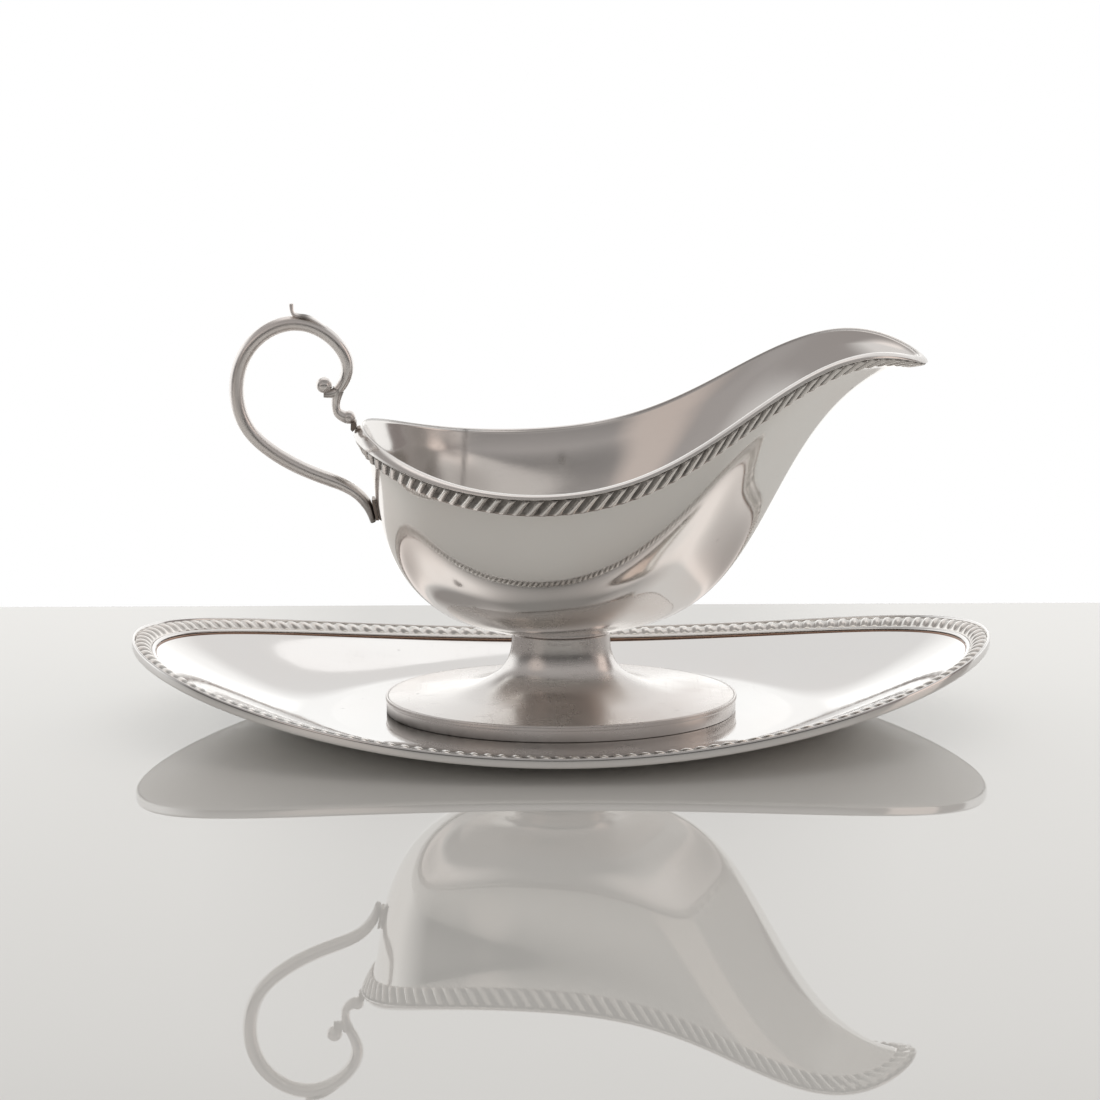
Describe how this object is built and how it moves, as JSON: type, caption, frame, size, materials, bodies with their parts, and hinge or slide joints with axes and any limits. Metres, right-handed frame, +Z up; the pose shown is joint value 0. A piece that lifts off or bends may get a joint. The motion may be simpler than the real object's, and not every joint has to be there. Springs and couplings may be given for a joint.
{
  "type": "sauce boat with tray",
  "caption": "Polished silver sauce boat with a long lifted spout, rope-edged lip, scroll handle and oval pedestal foot, standing loose on an oval rope-edged tray.",
  "frame": {"origin": "centre of the tray's flat underside, on the table", "axes": "+Z up, +X from the handle end towards the spout, +Y to the boat's left side; the XZ plane is the plane of symmetry"},
  "size_m": [0.24, 0.141, 0.1176],
  "materials": {
    "polished_silver": "polished silver plate with hairline scratches",
    "oxidised_silver": "polished silver with dark oxidised recesses",
    "cast_silver": "satin cast silver with tarnish in the corners"
  },
  "bodies": {
    "tray": {"tray_dish": "polished_silver", "tray_rim_band": "polished_silver", "tray_rope_border": "oxidised_silver"},
    "boat": {"bowl": "polished_silver", "rim_lip": "polished_silver", "rim_rope_border": "oxidised_silver", "neck_collar": "polished_silver", "foot_pedestal": "polished_silver", "foot_edge_band": "polished_silver", "scroll_handle": "cast_silver", "thumb_leaf": "cast_silver", "upper_joint_plate": "cast_silver", "lower_joint_pad": "cast_silver"}
  },
  "joints": [
    {"name": "boat_lift", "type": "slide", "parent": "tray", "child": "boat", "axis": [0, 0, 1], "range_m": [0, 0.12]}
  ]
}
